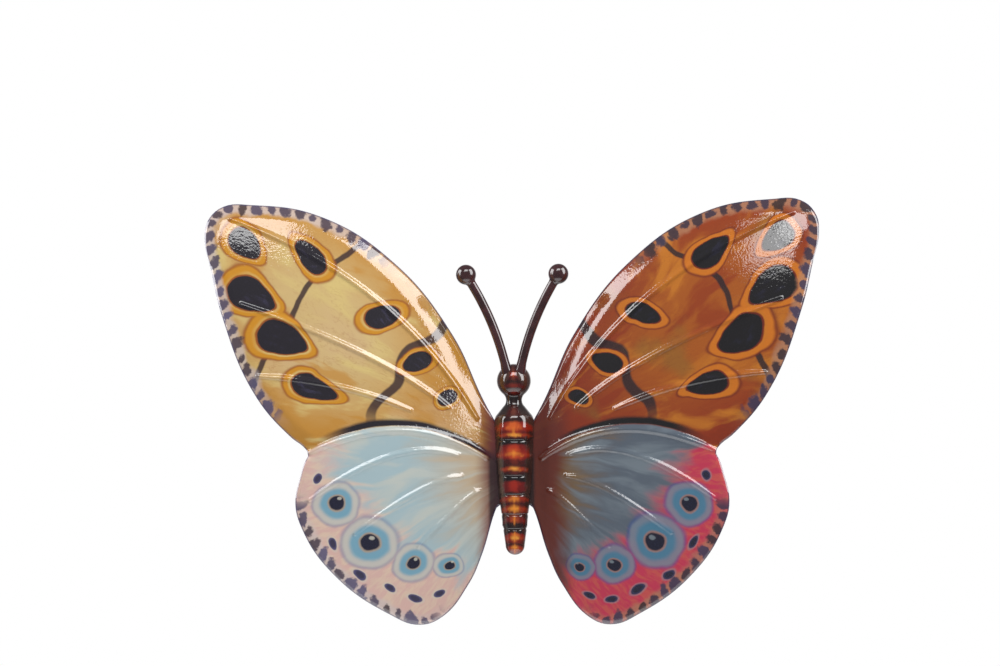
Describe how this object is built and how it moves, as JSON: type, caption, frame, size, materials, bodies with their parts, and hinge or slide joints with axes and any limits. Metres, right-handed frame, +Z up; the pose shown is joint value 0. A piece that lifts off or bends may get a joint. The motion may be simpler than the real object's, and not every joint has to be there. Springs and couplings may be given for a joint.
{
  "type": "butterfly wall ornament",
  "caption": "Pressed sheet-metal butterfly for a wall, with domed ribbed wings raised from a ringed body, ball-ended antennae and a swinging hanging ring behind the head.",
  "frame": {"origin": "where the nail bears, under the top of the hanging ring's wire", "axes": "+X across the wings to the right as seen from the front, +Y into the wall, +Z up"},
  "size_m": [0.3004, 0.0533, 0.2114],
  "materials": {
    "wing_enamel": "gloss",
    "body_enamel": "gloss",
    "antenna_enamel": "gloss",
    "plate_paint": "satin",
    "rivet_metal": "satin",
    "hanger_steel": "satin",
    "bumper_rubber": "matte"
  },
  "bodies": {
    "butterfly": {"wing_left": "wing_enamel", "wing_right": "wing_enamel", "body_shell": "body_enamel", "antenna_left": "antenna_enamel", "antenna_right": "antenna_enamel", "back_plate": "plate_paint", "wing_rivets": "rivet_metal", "hanger_strap": "hanger_steel", "hanger_rivets": "rivet_metal", "wall_bumper": "bumper_rubber"},
    "ring": {"hanger_ring": "hanger_steel"}
  },
  "joints": [
    {"name": "ring_swing", "type": "hinge", "parent": "butterfly", "child": "ring", "pos_m": [0, 0, -0.0076], "axis": [-1, 0, 0], "range_deg": [-15, 160]}
  ]
}
